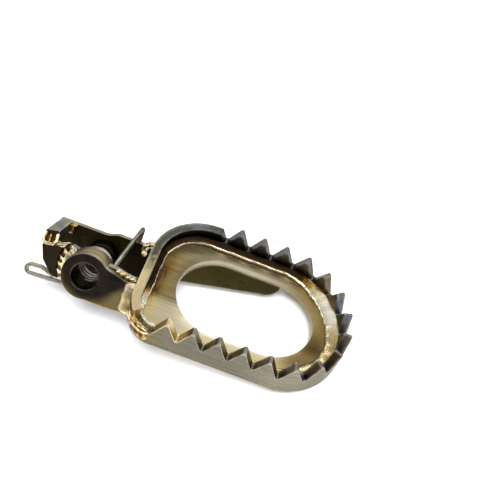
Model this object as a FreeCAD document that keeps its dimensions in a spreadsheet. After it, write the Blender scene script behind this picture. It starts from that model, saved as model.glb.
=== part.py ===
import FreeCAD, Part
import math
import os
import Sketcher

# Foot peg for an off-road motorcycle: a toothed titanium platform on a two-eyed hinge mount,
# with the torsion spring that folds it back down. One peg of a mirrored pair.
#
# Frame: origin at the middle of the pivot bore, +X along the peg to its outer tip, +Y to the
# rear, +Z up from the platform. The pivot leans, so the mount is drawn in a mount frame of its
# own: x is X, y lies in the plane of the arms and points up and to the rear, and z runs along
# the bore from the lower rear eye to the upper front eye.

doc = FreeCAD.newDocument("foot_peg")
sheet = doc.addObject("Spreadsheet::Sheet", "Dims")


class Size:
    """A length that carries both its number and its spreadsheet expression."""

    def __init__(self, number, text=None):
        self.number = float(number)
        self.text = text if text else repr(float(number))

    def join(self, sign, other, number):
        return Size(number, "(%s %s %s)" % (self.text, sign, other.text))

    def __add__(self, other):
        other = as_size(other)
        return self.join("+", other, self.number + other.number)

    def __sub__(self, other):
        other = as_size(other)
        return self.join("-", other, self.number - other.number)

    def __truediv__(self, other):
        other = as_size(other)
        return self.join("/", other, self.number / other.number)

    def __neg__(self):
        return Size(-self.number, "(0 - %s)" % self.text)


def as_size(thing):
    return thing if isinstance(thing, Size) else Size(thing)


class Dimensions:
    """Named driving dimensions, each one a row of the sheet."""

    def __init__(self, rows):
        for row, (name, number) in enumerate(rows, start=1):
            sheet.set("A%d" % row, name)
            sheet.set("B%d" % row, str(number))
            sheet.setAlias("B%d" % row, name)
            setattr(self, name, Size(number, "Dims." + name))
        sheet.recompute()


dim = Dimensions([
    # pivot and arms
    ("pivot_lean", 33.0),            # degrees between the bore and the Y axis
    ("bore_radius", 5.05),
    ("bore_chamfer", 0.6),
    ("eye_radius", 9.2),
    ("eye_face", 17.0),              # outer face of each eye, from the middle of the bore
    ("arm_thickness", 3.5),
    ("boss_inner_face", 6.5),
    ("rear_boss_radius", 6.7),
    ("front_arm_top", 4.2),
    ("front_arm_low", 8.5),
    ("layer_thickness", 3.6),
    ("rear_arm_top", 9.0),
    ("rear_arm_step", 1.6),
    ("rear_arm_foot_x", 67.6),
    ("rear_arm_foot", 8.5),
    ("rear_arm_end_x", 74.5),
    ("rear_arm_end", 12.9),
    # stop
    ("stop_x", 21.4),                # outer side of the stop bar, from the bore
    ("stop_width", 5.1),
    ("stop_height", 5.6),
    ("stop_rise", 0.9),              # how far the bar's inner edge stands above the arm
    ("cheek_inner_face", 5.7),
    ("cheek_thickness", 2.8),
    # platform
    ("band_thickness", 3.7),
    ("band_x", 19.5),                # outer face of the strip at the mount end
    ("band_tip_x", 105.2),
    ("band_front_y", -28.05),
    ("band_rear_y", 30.05),
    ("band_bottom", 2.1),
    ("tooth_tip", 18.1),
    ("tooth_depth", 8.1),
    ("tooth_pitch", 10.0),
    ("tooth_flat", 1.3),
    ("first_tooth_x", 36.3),
    ("smooth_top", 14.6),
    ("smooth_end_x", 44.0),
    ("front_tip_radius", 26.05),
    ("rear_tip_radius", 32.05),
    ("rear_corner_radius", 23.0),
    ("front_corner_radius", 12.5),
    ("plate_top", 8.1),
    ("plate_thickness", 4.0),
    ("opening_radius", 18.7),
    ("opening_inner_x", 52.6),
    ("opening_outer_x", 72.6),
    ("opening_y", 0.2),
    ("bead_leg", 3.4),
    ("bead_height", 2.4),
    ("bead_lip", 0.5),               # the bead's width at its top, on the band
    ("corner_top", 8.4),
    ("corner_end_y", -23.0),
    ("corner_bead_radius", 2.5),
    ("corner_angle", 58.0),          # degrees that the corner's beads run round it
    ("seam_height", 1.1),
    ("arm_bead_height", 1.4),
    ("fillet_leg", 2.2),
    ("boss_bead_leg", 2.4),
    ("ring_bead_leg", 1.8),
    # spring
    ("wire_radius", 0.95),
    ("coil_radius", 6.15),
    ("coil_front", 5.3),             # middle of the wire at the coil's two ends, along the bore
    ("coil_rear", -3.6),
    ("leg_end_gap", 0.6),
])

ARM_IN = dim.eye_face - dim.arm_thickness
MOUNT = FreeCAD.Placement(FreeCAD.Vector(0, 0, 0),
                          FreeCAD.Rotation(FreeCAD.Vector(1, 0, 0), 90 - dim.pivot_lean.number))
LEVEL = FreeCAD.Placement()
parts = []


# ---------------------------------------------------------------- building helpers
def new_body(name, placement=LEVEL, keep=True):
    body = doc.addObject("PartDesign::Body", name)
    body.Label = name
    body.Placement = placement
    if keep:
        parts.append(body)
    return body


def new_sketch(body, name, lift=None, plane="XY_Plane"):
    """Sketch on one of the body's own origin planes, lifted along its normal."""
    sketch = body.newObject("Sketcher::SketchObject", body.Name + name)
    origin_plane = [f for f in body.Origin.OriginFeatures if f.Role == plane][0]
    sketch.AttachmentSupport = [(origin_plane, "")]
    sketch.MapMode = "FlatFace"
    if lift is not None:
        sketch.setExpression("AttachmentOffset.Base.z", as_size(lift).text)
    return sketch


def hold(sketch, constraint, size):
    """Add a constraint and bind its value to the sheet."""
    index = sketch.addConstraint(constraint)
    sketch.setExpression("Constraints[%d]" % index, size.text)


def pin_point(sketch, geometry, vertex, x, y):
    x, y = as_size(x), as_size(y)
    hold(sketch, Sketcher.Constraint("DistanceX", -1, 1, geometry, vertex, x.number), x)
    hold(sketch, Sketcher.Constraint("DistanceY", -1, 1, geometry, vertex, y.number), y)


def bowed_arc(start, end, radius, inward):
    """Shorter arc between two points; it bows to the right of the run unless it goes inward."""
    chord = end - start
    side = FreeCAD.Vector(chord.y, -chord.x, 0).normalize()
    if inward:
        side = side * -1
    rise = radius - math.sqrt(max(radius ** 2 - chord.Length ** 2 / 4, 0))
    return Part.Arc(start, (start + end) * 0.5 + side * rise, end)


def outline(sketch, corners):
    """Closed outline, anticlockwise. A corner is (x, y), or (x, y, radius) where an arc runs to
    the next corner, or (x, y, radius, "in") where that arc bows into the shape."""
    count = len(corners)
    points = [FreeCAD.Vector(as_size(c[0]).number, as_size(c[1]).number, 0) for c in corners]
    for i, corner in enumerate(corners):
        start, end = points[i], points[(i + 1) % count]
        if len(corner) == 2:
            sketch.addGeometry(Part.LineSegment(start, end), False)
        else:
            arc = bowed_arc(start, end, as_size(corner[2]).number, len(corner) == 4)
            sketch.addGeometry(arc, False)

    def vertex_at(index, point):
        """An arc is stored anticlockwise, so its first point can be at either corner."""
        return 1 if sketch.getPoint(index, 1).distanceToPoint(point) < 1e-5 else 2

    for i in range(count):
        j = (i + 1) % count
        here, there = vertex_at(i, points[j]), vertex_at(j, points[j])
        sketch.addConstraint(Sketcher.Constraint("Coincident", i, here, j, there))
        pin_point(sketch, j, there, corners[j][0], corners[j][1])
    for i, corner in enumerate(corners):
        if len(corner) > 2:
            radius = as_size(corner[2])
            hold(sketch, Sketcher.Constraint("Radius", i, radius.number), radius)


def disc(sketch, radius):
    index = sketch.addGeometry(
        Part.Circle(FreeCAD.Vector(0, 0, 0), FreeCAD.Vector(0, 0, 1), radius.number), False)
    sketch.addConstraint(Sketcher.Constraint("Coincident", index, 3, -1, 1))
    hold(sketch, Sketcher.Constraint("Radius", index, radius.number), radius)


def pad(body, sketch, length):
    feature = body.newObject("PartDesign::Pad", sketch.Name + "Pad")
    feature.Profile = sketch
    feature.setExpression("Length", as_size(length).text)
    doc.recompute()
    return feature


def pocket(body, sketch, length):
    """Pocket upwards from the sketch; it must take material away."""
    before = body.Shape.Volume
    feature = body.newObject("PartDesign::Pocket", sketch.Name + "Pocket")
    feature.Profile = sketch
    feature.setExpression("Length", as_size(length).text)
    feature.Reversed = True
    doc.recompute()
    if body.Shape.Volume > before - 1:
        raise RuntimeError(body.Name + ": the pocket cuts nothing")
    return feature


def slab(name, corners, low, high, placement=LEVEL, keep=True):
    """Body with one outline, from one height to another."""
    body = new_body(name, placement, keep)
    sketch = new_sketch(body, "Outline", low)
    outline(sketch, corners)
    pad(body, sketch, as_size(high) - low)
    return body


def block(name, x, y, z, placement=LEVEL):
    """Box between pairs of sheet sizes, for use as a cutting tool."""
    box = doc.addObject("Part::Box", name)
    box.Placement = placement
    spans = (("Placement.Base.x", "Length", x), ("Placement.Base.y", "Width", y),
             ("Placement.Base.z", "Height", z))
    for corner, extent, (low, high) in spans:
        box.setExpression(corner, as_size(low).text)
        box.setExpression(extent, (as_size(high) - low).text)
    return box


def cut(name, base, tools, keep=True):
    """One solid less others."""
    if len(tools) > 1:
        fused = doc.addObject("Part::MultiFuse", name + "_tools")
        fused.Shapes = tools
    else:
        fused = tools[0]
    result = doc.addObject("Part::Cut", name)
    result.Label = name
    result.Base = base
    result.Tool = fused
    doc.recompute()
    if keep:
        parts.append(result)
    return result


# ---------------------------------------------------------------- platform
def loop(inset=0.0):
    """The platform's plan outline, moved inwards."""
    left = dim.band_x + inset
    tip = dim.band_tip_x - inset
    front = dim.band_front_y + inset
    rear = dim.band_rear_y - inset
    return [
        (dim.band_x + dim.front_corner_radius, front),
        (dim.band_tip_x - dim.front_tip_radius, front, dim.front_tip_radius - inset),
        (tip, dim.band_front_y + dim.front_tip_radius, dim.rear_tip_radius - inset),
        (dim.band_tip_x - dim.rear_tip_radius, rear),
        (dim.band_x + dim.rear_corner_radius, rear, dim.rear_corner_radius - inset),
        (left, dim.band_rear_y - dim.rear_corner_radius),
        (left, dim.band_front_y + dim.front_corner_radius, dim.front_corner_radius - inset),
    ]


def middle_line(distance):
    """Point and outward direction on the band's middle line. Distance runs from the first
    tooth along the front, round the tip and back along the rear."""
    half = dim.band_thickness.number / 2
    front_r = dim.front_tip_radius.number - half
    rear_r = dim.rear_tip_radius.number - half
    front_y = dim.band_front_y.number + half
    rear_y = dim.band_rear_y.number - half
    tip_x = dim.band_tip_x.number - half
    first_x = dim.first_tooth_x.number
    straight = tip_x - front_r - first_x
    front_arc = front_r * math.pi / 2
    rear_arc = rear_r * math.pi / 2
    if distance <= straight:
        return FreeCAD.Vector(first_x + distance, front_y, 0), FreeCAD.Vector(0, -1, 0)
    if distance <= straight + front_arc:
        turn = (distance - straight) / front_r
        out = FreeCAD.Vector(math.sin(turn), -math.cos(turn), 0)
        return FreeCAD.Vector(tip_x - front_r, front_y + front_r, 0) + out * front_r, out
    past_arcs = distance - straight - front_arc - rear_arc
    if past_arcs <= 0:
        turn = (distance - straight - front_arc) / rear_r
        out = FreeCAD.Vector(math.cos(turn), math.sin(turn), 0)
        return FreeCAD.Vector(tip_x - rear_r, rear_y - rear_r, 0) + out * rear_r, out
    return FreeCAD.Vector(tip_x - rear_r - past_arcs, rear_y, 0), FreeCAD.Vector(0, 1, 0)


TEETH = 16
VALLEY_WIDTH = 1.0
CLEAR = 2.0                          # how far the tooth cutters stand clear of the band


def tooth_gap(distance):
    """Wedge that cuts one valley square across the band."""
    centre, out = middle_line(distance)
    along = FreeCAD.Vector(-out.y, out.x, 0)
    up = FreeCAD.Vector(0, 0, 1)
    tip = dim.tooth_tip.number
    floor = tip - dim.tooth_depth.number
    top_half = (dim.tooth_pitch.number - dim.tooth_flat.number) / 2
    floor_half = VALLEY_WIDTH / 2
    top_half += CLEAR * (top_half - floor_half) / dim.tooth_depth.number
    back = centre - out * (dim.band_thickness.number / 2 + CLEAR)
    ring = [back + along * u + up * z for u, z in
            ((-top_half, tip + CLEAR), (-floor_half, floor), (floor_half, floor),
             (top_half, tip + CLEAR))]
    face = Part.Face(Part.makePolygon(ring + ring[:1]))
    return face.extrude(out * (dim.band_thickness.number + 2 * CLEAR))


# The bent strip, at full height all round.
blank = slab("band_blank", loop(), dim.band_bottom, dim.tooth_tip, keep=False)
inside = new_sketch(blank, "Inside", dim.band_bottom)
outline(inside, loop(dim.band_thickness))
pocket(blank, inside, dim.tooth_tip)

gaps = doc.addObject("Part::Feature", "tooth_gaps")
gaps.Shape = Part.makeCompound([tooth_gap((i - 0.5) * dim.tooth_pitch.number)
                                for i in range(TEETH + 1)])

# Round the mount end the strip is smooth and lower, and at the front inner corner lower still.
left = dim.band_x - 5
above = dim.tooth_tip + 5
corner_x = dim.band_x + dim.front_corner_radius
smooth_rear = block("smooth_rear", (left, dim.smooth_end_x), (0, dim.band_rear_y + 5),
                    (dim.smooth_top, above))
smooth_front = block("smooth_front", (left, corner_x), (dim.band_front_y - 5, 0.5),
                     (dim.smooth_top, above))
corner_cut = block("corner_relief", (left, corner_x), (dim.band_front_y - 5, dim.corner_end_y),
                   (dim.corner_top, above))
band = cut("cleat_band", blank, [smooth_rear, smooth_front, corner_cut, gaps])

# The plate inside the band, with its long opening.
plate_low = dim.plate_top - dim.plate_thickness
plate = slab("platform_plate", loop(dim.band_thickness), plate_low, dim.plate_top)
hole = new_sketch(plate, "Opening", plate_low)
outline(hole, [
    (dim.opening_inner_x, dim.opening_y - dim.opening_radius),
    (dim.opening_outer_x, dim.opening_y - dim.opening_radius, dim.opening_radius),
    (dim.opening_outer_x + dim.opening_radius, dim.opening_y, dim.opening_radius),
    (dim.opening_outer_x, dim.opening_y + dim.opening_radius),
    (dim.opening_inner_x, dim.opening_y + dim.opening_radius, dim.opening_radius),
    (dim.opening_inner_x - dim.opening_radius, dim.opening_y, dim.opening_radius),
])
pocket(plate, hole, dim.plate_thickness)

# The bead between the plate and the band: high at the band, running out on the plate.
bead = slab("platform_weld", loop(dim.band_thickness), dim.plate_top,
            dim.plate_top + dim.bead_height)
foot = new_sketch(bead, "Foot", dim.plate_top)
outline(foot, loop(dim.band_thickness + dim.bead_leg))
head = new_sketch(bead, "Head", dim.plate_top + dim.bead_height)
outline(head, loop(dim.band_thickness + dim.bead_lip))
solid_volume = bead.Shape.Volume
hollow = bead.newObject("PartDesign::SubtractiveLoft", "BeadHollow")
hollow.Profile = foot
hollow.Sections = [head]
doc.recompute()
if bead.Shape.Volume > solid_volume / 2:
    raise RuntimeError("platform_weld: the loft cuts too little")


def corner_sweep(name, corners, sweep_angle, start_angle, keep=True):
    """Body swept round the front inner corner. Corners are (distance from the corner's centre,
    height), and the start angle is measured from the front."""
    body = new_body(name, keep=keep)
    body.Placement = FreeCAD.Placement(
        FreeCAD.Vector(corner_x.number, (dim.band_front_y + dim.front_corner_radius).number, 0),
        FreeCAD.Rotation(FreeCAD.Vector(0, 0, 1), -90 - start_angle))
    body.setExpression("Placement.Base.x", corner_x.text)
    body.setExpression("Placement.Base.y", (dim.band_front_y + dim.front_corner_radius).text)
    sketch = new_sketch(body, "Section", plane="XZ_Plane")
    outline(sketch, corners)
    sweep = body.newObject("PartDesign::Revolution", name + "Sweep")
    sweep.Profile = sketch
    sweep.ReferenceAxis = (sketch, ["V_Axis"])
    sweep.setExpression("Angle", sweep_angle.text)
    sweep.Reversed = True
    doc.recompute()
    return body


# The bead over the closed corner bulges out past the strip.
bead_r = dim.corner_bead_radius
bead_middle = dim.front_corner_radius - 0.9
corner_blank = corner_sweep("corner_weld_blank", [
    (bead_middle - bead_r + 0.5, dim.corner_top),
    (bead_middle + bead_r - 0.5, dim.corner_top),
    (bead_middle + bead_r, dim.corner_top + 1.2, bead_r + 0.2),
    (bead_middle - bead_r, dim.corner_top + 1.2),
], dim.corner_angle, 10, keep=False)
cut("corner_weld", corner_blank, [band])
corner_sweep("corner_weld_lower", [
    (dim.front_corner_radius, dim.band_bottom + 0.3),
    (dim.front_corner_radius + 0.4, dim.band_bottom + 0.3),
    (dim.front_corner_radius + 1.0, dim.band_bottom + 2.6, 3.2),
    (dim.front_corner_radius + 0.4, dim.corner_top - 0.6),
    (dim.front_corner_radius, dim.corner_top - 0.6),
], dim.corner_angle, 8)


# ---------------------------------------------------------------- mount
def add_eye(body, low, length, radius=dim.eye_radius):
    sketch = new_sketch(body, "Eye", low)
    disc(sketch, radius)
    pad(body, sketch, length)


def add_bore(body, low, length):
    sketch = new_sketch(body, "Bore", low)
    disc(sketch, dim.bore_radius)
    pocket(body, sketch, length)


def chamfer_bore(body, face_height):
    """Break the bore's edge on the eye's outer face."""
    radius = dim.bore_radius.number
    names = []
    for i, edge in enumerate(body.Tip.Shape.Edges, start=1):
        curve = edge.Curve
        if isinstance(curve, Part.Circle) and abs(curve.Radius - radius) < 1e-4:
            if abs(curve.Center.z - face_height) < 1e-4:
                names.append("Edge%d" % i)
    if not names:
        raise RuntimeError(body.Name + ": no bore edge to chamfer")
    base = body.Tip
    feature = body.newObject("PartDesign::Chamfer", body.Name + "Chamfer")
    feature.Base = (base, names)
    feature.setExpression("Size", dim.bore_chamfer.text)
    body.Tip = feature
    doc.recompute()


# Front arm: outer plate with the upper eye, butted against the strip.
front_arm = slab("front_arm", [
    (0, -8),
    (2.2, -dim.eye_radius + 0.3),
    (11, -dim.eye_radius + 0.1),
    (dim.band_x, -dim.front_arm_low),
    (dim.band_x, dim.front_arm_top - 0.4),
    (14.8, dim.front_arm_top),
    (10.8, 5.3),
    (8.7, 5.6, 6.5, "in"),
    (5.4, 7.3),
    (0, 6.5),
], ARM_IN, dim.eye_face, MOUNT)
add_eye(front_arm, ARM_IN, dim.arm_thickness)
add_bore(front_arm, ARM_IN, dim.arm_thickness)
chamfer_bore(front_arm, dim.eye_face.number)

# Second layer behind it, a little taller, so the seam shows along the top.
layer_low = ARM_IN - dim.layer_thickness
layer = slab("front_layer_blank", [
    (2, -dim.eye_radius + 1.4),
    (dim.band_x, -dim.front_arm_low + 1.6),
    (dim.band_x, dim.front_arm_top + 0.5),
    (14.8, dim.front_arm_top + 0.9),
    (10.8, 6.1),
    (2, 6.6),
], layer_low, ARM_IN, MOUNT, keep=False)
layer_room = new_body("boss_room", MOUNT, keep=False)
add_eye(layer_room, layer_low - 1, dim.layer_thickness + 2)
inner_plate = cut("front_arm_inner_plate", layer, [layer_room])

# Bosses that carry the pivot pin.
for boss_name, boss_low, boss_radius in (("front_pivot_boss", dim.boss_inner_face, dim.eye_radius),
                                         ("rear_pivot_boss", -ARM_IN, dim.rear_boss_radius)):
    boss = new_body(boss_name, MOUNT)
    add_eye(boss, boss_low, ARM_IN - dim.boss_inner_face, boss_radius)
    add_bore(boss, boss_low, ARM_IN - dim.boss_inner_face)

# Rear arm: one long plate from the stop, past the lower eye and on under the platform.
arm_step_top = dim.rear_arm_top + dim.rear_arm_step
rear_blank = slab("rear_arm_blank", [
    (-dim.stop_x, dim.rear_arm_top - dim.stop_height),
    (-18.7, -1.2),
    (-8.6, -6.9),
    (-4, -8.2),
    (0, -8),
    (2.2, -dim.eye_radius + 0.3),
    (11, -dim.eye_radius + 0.4),
    (22, -4.4),
    (32.8, 1.0),
    (dim.rear_arm_foot_x, dim.rear_arm_foot, 7.5),
    (dim.rear_arm_end_x, dim.rear_arm_end),
    (dim.rear_arm_end_x, 19),
    (21, 19),
    (21, arm_step_top),
    (3.6, arm_step_top),
    (-1, dim.rear_arm_top),
    (-dim.stop_x, dim.rear_arm_top),
], -dim.eye_face, -ARM_IN, MOUNT, keep=False)
add_eye(rear_blank, -dim.eye_face, dim.arm_thickness)
add_bore(rear_blank, -dim.eye_face, dim.arm_thickness)
chamfer_bore(rear_blank, -dim.eye_face.number)
# It ends at the undersides of the strip and of the plate.
strip_end = dim.band_x + dim.band_thickness
room_y = (0, dim.band_rear_y)
rise_x = strip_end + 4             # inside the strip's rounded corner
under_strip = block("under_strip", (dim.band_x, rise_x), room_y, (dim.band_bottom, 30))
under_plate = block("under_plate", (rise_x, dim.band_tip_x), room_y, (plate_low, 30))
rear_arm = cut("rear_arm", rear_blank, [under_strip, under_plate, band])

# ---------------------------------------------------------------- stop
cheek_face = dim.cheek_inner_face + dim.cheek_thickness
cheek_blank = slab("stop_cheek_blank", [
    (-dim.stop_x + 0.6, 3.7),
    (-18.9, -2.2),
    (-14.6, -7.0),
    (-11.6, -7.9),
    (-5.0, -2),
    (-5.0, 6.4),
    (-9.2, 7.3),
    (-13.0, 5.6),
], dim.cheek_inner_face, cheek_face, MOUNT, keep=False)
cheek_room = new_body("cheek_room", MOUNT, keep=False)
add_eye(cheek_room, dim.cheek_inner_face - 1, dim.cheek_thickness + 2)
cheek = cut("stop_cheek", cheek_blank, [cheek_room])

stop_inner_x = -dim.stop_x + dim.stop_width
slab("stop_bar", [
    (-dim.stop_x, dim.rear_arm_top - dim.stop_height),
    (stop_inner_x - 0.6, dim.rear_arm_top - dim.stop_height),
    (stop_inner_x, dim.rear_arm_top - dim.stop_height + 0.6),
    (stop_inner_x, dim.rear_arm_top + dim.stop_rise - 0.3),
    (stop_inner_x - 0.4, dim.rear_arm_top + dim.stop_rise),
    (-dim.stop_x, dim.rear_arm_top),
], -ARM_IN, dim.cheek_inner_face, MOUNT)

# ---------------------------------------------------------------- welds of the mount
band_fill = slab("band_fill", loop(), dim.band_bottom, dim.tooth_tip, keep=False)

# Front arm to strip: bead down the joint on the arm's outer side.
front_bead = slab("front_arm_weld_blank", [
    (dim.band_x - 3.4, -dim.front_arm_low + 0.2),
    (dim.band_x + 2.5, -dim.front_arm_low + 0.2),
    (dim.band_x + 2.5, dim.front_arm_top - 0.6),
    (dim.band_x - 3.4, dim.front_arm_top - 0.1),
], dim.eye_face, dim.eye_face + dim.arm_bead_height, MOUNT, keep=False)
cut("front_arm_weld", front_bead, [band_fill])

# Along the seam between the front arm's two layers, from the boss to the strip.
seam_low, seam_high = ARM_IN - 1.4, ARM_IN + 1.8
layer_top = dim.front_arm_top + dim.seam_height
seam_blank = slab("front_seam_weld_blank", [
    (11.4, 5.0),
    (14.8, 4.0),
    (dim.band_x, 3.6),
    (dim.band_x, layer_top + 0.5),
    (14.8, layer_top + 0.9),
    (11.4, layer_top + 1.7),
], seam_low, seam_high, MOUNT, keep=False)
cut("front_seam_weld", seam_blank, [front_arm, inner_plate])

# Rear arm to strip: bead on the arm's top edge.
rear_bead = slab("rear_arm_weld_blank", [
    (dim.band_x - 2.5, arm_step_top),
    (rise_x - 2, arm_step_top),
    (rise_x - 2, arm_step_top + 5.6),
    (dim.band_x + 1.4, arm_step_top + 4.4),
], -dim.eye_face, -ARM_IN, MOUNT, keep=False)
cut("rear_arm_weld", rear_bead, [band_fill, rear_arm])

# In the corner between the rear arm's inner face and the strip.
corner_bead = slab("rear_arm_weld_corner_blank", [
    (13.8, 7.8),
    (17.4, 6.4),
    (22.0, 8.6),
    (22.0, 12.4),
    (14.6, 12.0),
], -ARM_IN, -ARM_IN + 2.8, MOUNT, keep=False)
cut("rear_arm_weld_corner", corner_bead, [band_fill])


def edge_fillet(name, corners, low, high):
    """Bead along X under the plate. Corners are (y, z)."""
    body = new_body(name + "_blank", keep=False)
    sketch = new_sketch(body, "Section", low, plane="YZ_Plane")
    outline(sketch, corners)
    pad(body, sketch, high - low)
    cut(name, body, [band])


LEAN = math.radians(dim.pivot_lean.number)


def arm_side(reach, height):
    """Y of a point on one side of the rear arm. Reach is that side's distance along the bore."""
    return reach / math.cos(LEAN) + height * math.tan(LEAN)


plate_z = plate_low.number
outer_side, inner_side = dim.eye_face.number, ARM_IN.number
fillet = dim.fillet_leg.number
edge_fillet("rear_arm_weld_under", [
    (arm_side(outer_side, plate_z - fillet), plate_low - dim.fillet_leg),
    (arm_side(outer_side, plate_z) + fillet, plate_low),
    (arm_side(outer_side, plate_z), plate_low),
], rise_x + 7, dim.rear_arm_foot_x)
edge_fillet("rear_arm_weld_inside", [
    (arm_side(inner_side, plate_z - fillet), plate_low - dim.fillet_leg),
    (arm_side(inner_side, plate_z), plate_low),
    (arm_side(inner_side, plate_z) - fillet, plate_low),
], rise_x, as_size(41.0))


def boss_bead(name, inner, leg, low, sweep_angle, start_angle):
    """Bead in the corner between a boss and the plate below it."""
    body = new_body(name, MOUNT)
    body.Placement = MOUNT.multiply(
        FreeCAD.Placement(FreeCAD.Vector(0, 0, 0), FreeCAD.Rotation(FreeCAD.Vector(0, 0, 1), start_angle)))
    sketch = new_sketch(body, "Section", plane="XZ_Plane")
    outline(sketch, [
        (inner, low),
        (inner + leg, low),
        (inner + leg - 0.7, low + leg - 0.7),
        (inner, low + leg),
    ])
    sweep = body.newObject("PartDesign::Revolution", name + "Sweep")
    sweep.Profile = sketch
    sweep.ReferenceAxis = (sketch, ["V_Axis"])
    sweep.Angle = sweep_angle
    doc.recompute()
    return body


boss_bead("cheek_weld", dim.eye_radius, dim.boss_bead_leg, cheek_face, 70, 143)

# Front boss to second layer: bead on the layer's inner face.
bead_low = layer_low - dim.ring_bead_leg
front_ring = new_body("front_boss_weld_blank", MOUNT, keep=False)
ring = new_sketch(front_ring, "Ring", bead_low)
disc(ring, dim.eye_radius + dim.ring_bead_leg)
pad(front_ring, ring, layer_low - bead_low)
ring = new_sketch(front_ring, "RingInside", bead_low)
disc(ring, dim.eye_radius)
pocket(front_ring, ring, layer_low - bead_low)
ring_keep = block("ring_keep", (3, 30), (-6.6, 5.6), (0, 30), MOUNT)
front_weld = doc.addObject("Part::Common", "front_boss_weld")
front_weld.Label = "front_boss_weld"
front_weld.Base = front_ring
front_weld.Tool = ring_keep
parts.append(front_weld)

# Bar's free end to the cheek: bead sloping from the bar's top down to the cheek's edge.
bar_bead = new_body("stop_bar_weld_blank", MOUNT, keep=False)
wedge = new_sketch(bar_bead, "Wedge", -dim.stop_x + 0.4, plane="YZ_Plane")
outline(wedge, [
    (3.4, dim.cheek_inner_face),
    (dim.rear_arm_top - 0.8, dim.cheek_inner_face),
    (6.2, dim.cheek_inner_face + 1.2),
    (4.9, cheek_face - 0.3),
    (3.4, cheek_face - 0.3),
])
pad(bar_bead, wedge, dim.stop_width - 0.8)
cut("stop_bar_weld", bar_bead, [cheek])

# Bar to rear arm: bead in the inside corner.
slab("stop_end_weld", [
    (stop_inner_x, dim.rear_arm_top - dim.stop_height + 1),
    (stop_inner_x + 1.8, dim.rear_arm_top - dim.stop_height + 1),
    (stop_inner_x + 1.8, dim.rear_arm_top - 0.2),
    (stop_inner_x, dim.rear_arm_top + 0.3),
], -ARM_IN, -ARM_IN + 1.8, MOUNT)


# ---------------------------------------------------------------- spring
def on_coil(angle_deg, z):
    turn = math.radians(angle_deg)
    radius = dim.coil_radius.number
    return FreeCAD.Vector(radius * math.cos(turn), radius * math.sin(turn), z)


def add_wire(name, spine):
    """Round wire along a spine, in the mount frame."""
    start = spine.OrderedEdges[0]
    first = start.valueAt(start.FirstParameter)
    heading = start.tangentAt(start.FirstParameter)
    section = Part.Wire([Part.Circle(first, heading, dim.wire_radius.number).toShape()])
    feature = doc.addObject("Part::Feature", name)
    feature.Label = name
    feature.Shape = spine.makePipeShell([section], True, True)
    feature.Placement = MOUNT
    parts.append(feature)
    return feature


def bent_spine(points, bend_radius):
    """Straight runs through the points, joined by tangent arcs."""
    edges = []
    last = points[0]
    for before, corner, after in zip(points, points[1:], points[2:]):
        into = (corner - before).normalize()
        out = (after - corner).normalize()
        turn = into.getAngle(out)
        room = 0.48 * min((corner - before).Length, (after - corner).Length)
        trim = min(room, bend_radius * math.tan(turn / 2))
        start, end = corner - into * trim, corner + out * trim
        bend = trim / math.tan(turn / 2)
        inward = (out - into).normalize()
        middle = corner + inward * (bend / math.cos(turn / 2) - bend)
        edges.append(Part.LineSegment(last, start).toShape())
        edges.append(Part.Arc(start, middle, end).toShape())
        last = end
    edges.append(Part.LineSegment(last, points[-1]).toShape())
    return Part.Wire(edges)


HOOK_ANGLE = -24.0                   # where the hooked leg leaves the coil
LEG_ANGLE = -90.0                    # where the long leg leaves it, after whole turns more
WHOLE_TURNS = 3
coil_rear = dim.coil_rear.number
coil_length = dim.coil_front.number - coil_rear
turned = HOOK_ANGLE - LEG_ANGLE + 360 * WHOLE_TURNS
STEPS_PER_TURN = 24
HOOK_BEND, LEG_BEND = 3.2, 3.0       # bend radii of the wire's middle line
steps = STEPS_PER_TURN * (WHOLE_TURNS + 1)
coil_points = [on_coil(HOOK_ANGLE - turned * i / steps, coil_rear + coil_length * i / steps)
               for i in range(steps + 1)]
coil_curve = Part.BSplineCurve()
coil_curve.interpolate(coil_points)
add_wire("spring_coil", Part.Wire([coil_curve.toShape()]))

# Hooked leg: off the coil, over the rear arm's top edge and down its outer side.
hook_start = coil_points[0]
hook_heading = FreeCAD.Vector(-math.sin(math.radians(HOOK_ANGLE)), math.cos(math.radians(HOOK_ANGLE)), 0)
add_wire("spring_hook", bent_spine([
    hook_start + hook_heading * 0.15,
    hook_start + hook_heading * 3.0,
    FreeCAD.Vector(11.9, 16.2, -12.1),
    FreeCAD.Vector(11.9, 16.2, -18.5),
    FreeCAD.Vector(11.9, 9.2, -18.5),
], HOOK_BEND))

# Long leg: off the coil's underside to the mount end, bent back on itself in a narrow loop.
leg_start = coil_points[-1] - FreeCAD.Vector(dim.leg_end_gap.number, 0, 0)
add_wire("spring_leg", bent_spine([
    leg_start,
    leg_start + FreeCAD.Vector(-2.4, -0.1, -0.4),
    FreeCAD.Vector(-9.5, -11.2, 2.9),
    FreeCAD.Vector(-25.3, -12.1, 2.7),
    FreeCAD.Vector(-25.0, -8.3, 2.7),
    FreeCAD.Vector(-19.5, -7.8, 2.7),
    FreeCAD.Vector(-14.0, -9.7, 2.7),
], LEG_BEND))

# ---------------------------------------------------------------- checks and export
doc.recompute()
for item in doc.Objects:
    if "Invalid" in item.State or "Error" in item.State:
        raise RuntimeError(item.Name + " did not recompute: " + item.getStatusString())
for part in parts:
    shape = part.Shape
    if shape.isNull() or not shape.isValid():
        raise RuntimeError(part.Label + ": bad shape")
    if not shape.Solids:
        raise RuntimeError(part.Label + ": no solid")

os.makedirs("parts", exist_ok=True)
for part in parts:
    part.Shape.exportStep("parts/" + part.Label + ".step")
    box = part.Shape.BoundBox
    print("%-24s %9.1f mm3  x %6.1f %6.1f  y %6.1f %6.1f  z %6.1f %6.1f  solids %d" % (
        part.Label, part.Shape.Volume, box.XMin, box.XMax, box.YMin, box.YMax, box.ZMin, box.ZMax,
        len(part.Shape.Solids)))
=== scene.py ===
import math
import random

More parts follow.
